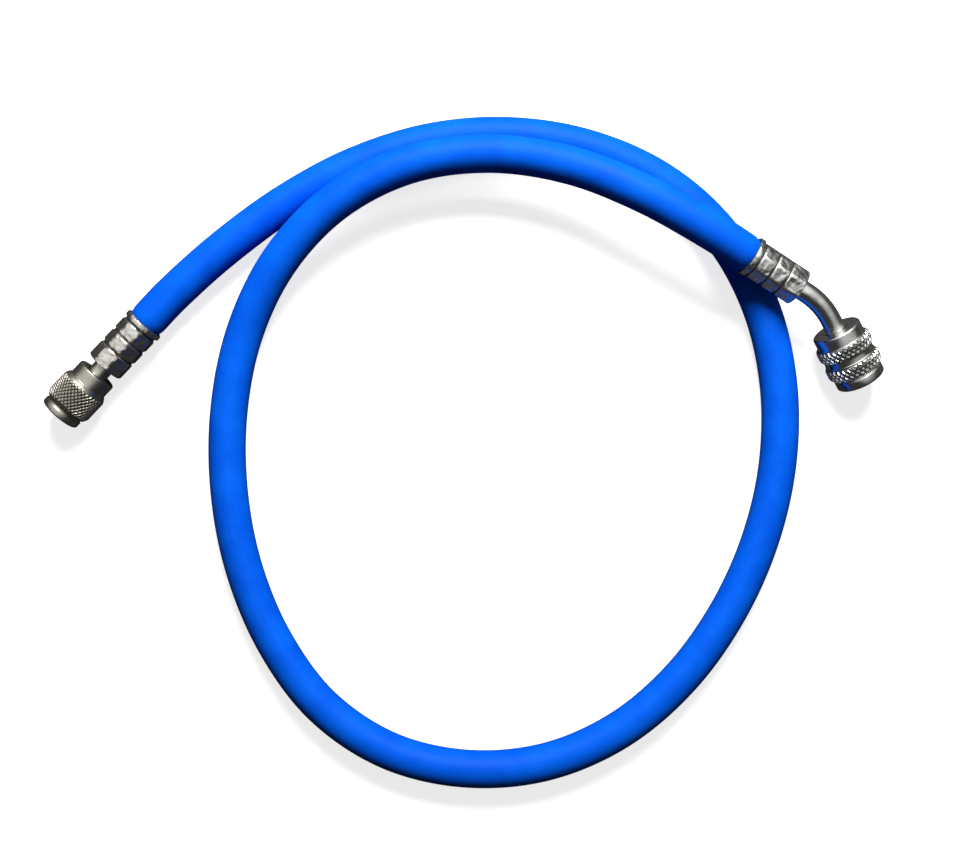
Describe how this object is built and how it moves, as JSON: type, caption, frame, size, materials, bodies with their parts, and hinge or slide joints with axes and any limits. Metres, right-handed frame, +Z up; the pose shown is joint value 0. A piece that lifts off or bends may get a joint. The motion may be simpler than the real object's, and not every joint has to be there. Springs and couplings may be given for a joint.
{
  "type": "refrigerant charging hose",
  "caption": "Coiled rubber refrigerant charging hose with a straight and a bent crimped fitting, each with a free-turning knurled flare nut.",
  "frame": {"origin": "on the floor under the middle of the box that holds the fittings and nuts, without the hose", "axes": "-X points out of the straight fitting's nut, +Z is up from the floor that the coil lies on"},
  "size_m": [0.2143, 0.2178, 0.0273],
  "materials": {
    "hose_rubber": "smooth satin blue rubber",
    "nickel_plate": "bright nickel plate on brass",
    "gasket_rubber": "matt black rubber",
    "bare_brass": "turned brass"
  },
  "bodies": {
    "hose_line": {"hose": "hose_rubber", "ferrule_straight": "nickel_plate", "stem_straight": "nickel_plate", "gasket_straight": "gasket_rubber", "ferrule_angled": "nickel_plate", "stem_angled": "nickel_plate", "gasket_angled": "gasket_rubber", "core_depressor": "bare_brass"},
    "straight_nut": {"nut_straight": "nickel_plate"},
    "angled_nut": {"nut_angled": "nickel_plate"}
  },
  "joints": [
    {"name": "straight_nut_spin", "type": "hinge", "parent": "hose_line", "child": "straight_nut", "pos_m": [-0.0808, 0.0875, 0.0078], "axis": [-1, 0, 0], "continuous": true},
    {"name": "angled_nut_spin", "type": "hinge", "parent": "hose_line", "child": "angled_nut", "pos_m": [0.09128, -0.07492, 0.01232], "axis": [-0.2595, -0.9328, -0.2501], "continuous": true}
  ]
}
